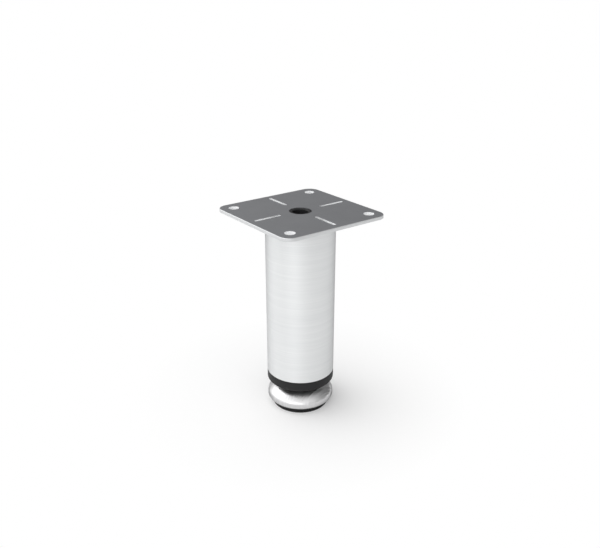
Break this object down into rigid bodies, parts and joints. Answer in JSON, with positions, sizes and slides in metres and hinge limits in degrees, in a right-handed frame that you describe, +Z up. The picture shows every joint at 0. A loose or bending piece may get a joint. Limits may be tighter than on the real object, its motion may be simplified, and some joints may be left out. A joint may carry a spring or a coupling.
{
  "type": "adjustable bed leg",
  "caption": "Round brushed furniture leg with a square screw-on top plate and a foot that screws in and out to set the height.",
  "frame": {"origin": "on the floor under the leg's axis, at the middle of the glide pad's lower face", "axes": "+Z up along the leg, +X and +Y along the sides of the square plate"},
  "size_m": [0.086, 0.086, 0.152],
  "materials": {
    "plate_steel": "satin grey top face, bright stamped edges",
    "tube_steel": "fine brushing round the tube",
    "black_plastic": "moulded, matte black",
    "zinc_steel": "bright zinc plate",
    "shell_steel": "bright plate with fine polishing lines",
    "pad_plastic": "moulded, matte black"
  },
  "bodies": {
    "leg": {"mounting_plate": "plate_steel", "leg_tube": "tube_steel", "centre_bush": "black_plastic", "end_insert": "black_plastic", "spindle_nut": "zinc_steel"},
    "pad": {"glide_pad": "pad_plastic"},
    "foot": {"spindle": "zinc_steel", "foot_shell": "shell_steel"}
  },
  "joints": [
    {"name": "height_slide", "type": "slide", "parent": "leg", "child": "pad", "axis": [0, 0, -1], "range_m": [-0.002, 0.013]},
    {"name": "foot_turn", "type": "hinge", "parent": "pad", "child": "foot", "pos_m": [0, 0, 0.01], "axis": [0, 0, -1], "range_deg": [-480, 3120]}
  ],
  "couplings": [
    {"joint": "height_slide", "follows": "foot_turn", "m_per_rad": 0.00023873}
  ]
}
